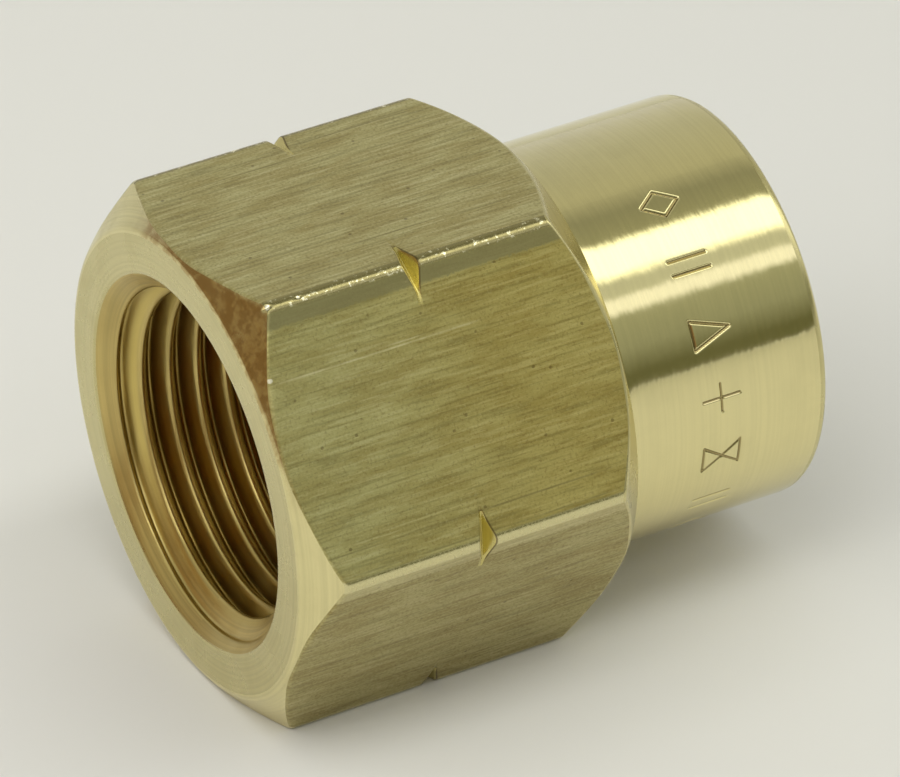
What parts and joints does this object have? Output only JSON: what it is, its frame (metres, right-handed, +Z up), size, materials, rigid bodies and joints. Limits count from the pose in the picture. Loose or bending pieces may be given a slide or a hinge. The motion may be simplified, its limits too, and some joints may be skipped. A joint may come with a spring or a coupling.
{
  "type": "flare swivel fitting",
  "caption": "Brass flare fitting: threaded hexagon swivel nut with notched corners turning on a flare stem, joined to a round barrel with a brazing cup for tube.",
  "frame": {"origin": "centre of the bounding box in plan, on the plane of the nut's lower flat, which the fitting rests on", "axes": "+X along the gas way from the threaded mouth to the tube cup, +Z up, square to the flat that it rests on, +Y across the corners of the hexagon"},
  "size_m": [0.0278, 0.0254, 0.0222],
  "materials": {
    "nut_brass": "drawn bar, dull, with turned chamfers and thread",
    "barrel_brass": "turned and polished",
    "stem_brass": "turned",
    "washer_brass": "stamped, bright",
    "filler_brass": "cast filler metal, satin",
    "gasket_copper": "soft annealed copper",
    "seal_rubber": "matt black"
  },
  "bodies": {
    "tail": {"barrel": "barrel_brass", "flare_stem": "stem_brass", "flare_gasket": "gasket_copper", "stem_o_ring": "seal_rubber", "back_washer": "washer_brass", "brazing_ring": "filler_brass"},
    "washer": {"slip_washer": "washer_brass"},
    "nut": {"swivel_nut": "nut_brass"}
  },
  "joints": [
    {"name": "nut_float", "type": "slide", "parent": "tail", "child": "washer", "axis": [1, 0, 0], "range_m": [0, 0.00025]},
    {"name": "nut_swivel", "type": "hinge", "parent": "washer", "child": "nut", "pos_m": [0, 0, 0.01111], "axis": [1, 0, 0], "continuous": true}
  ]
}
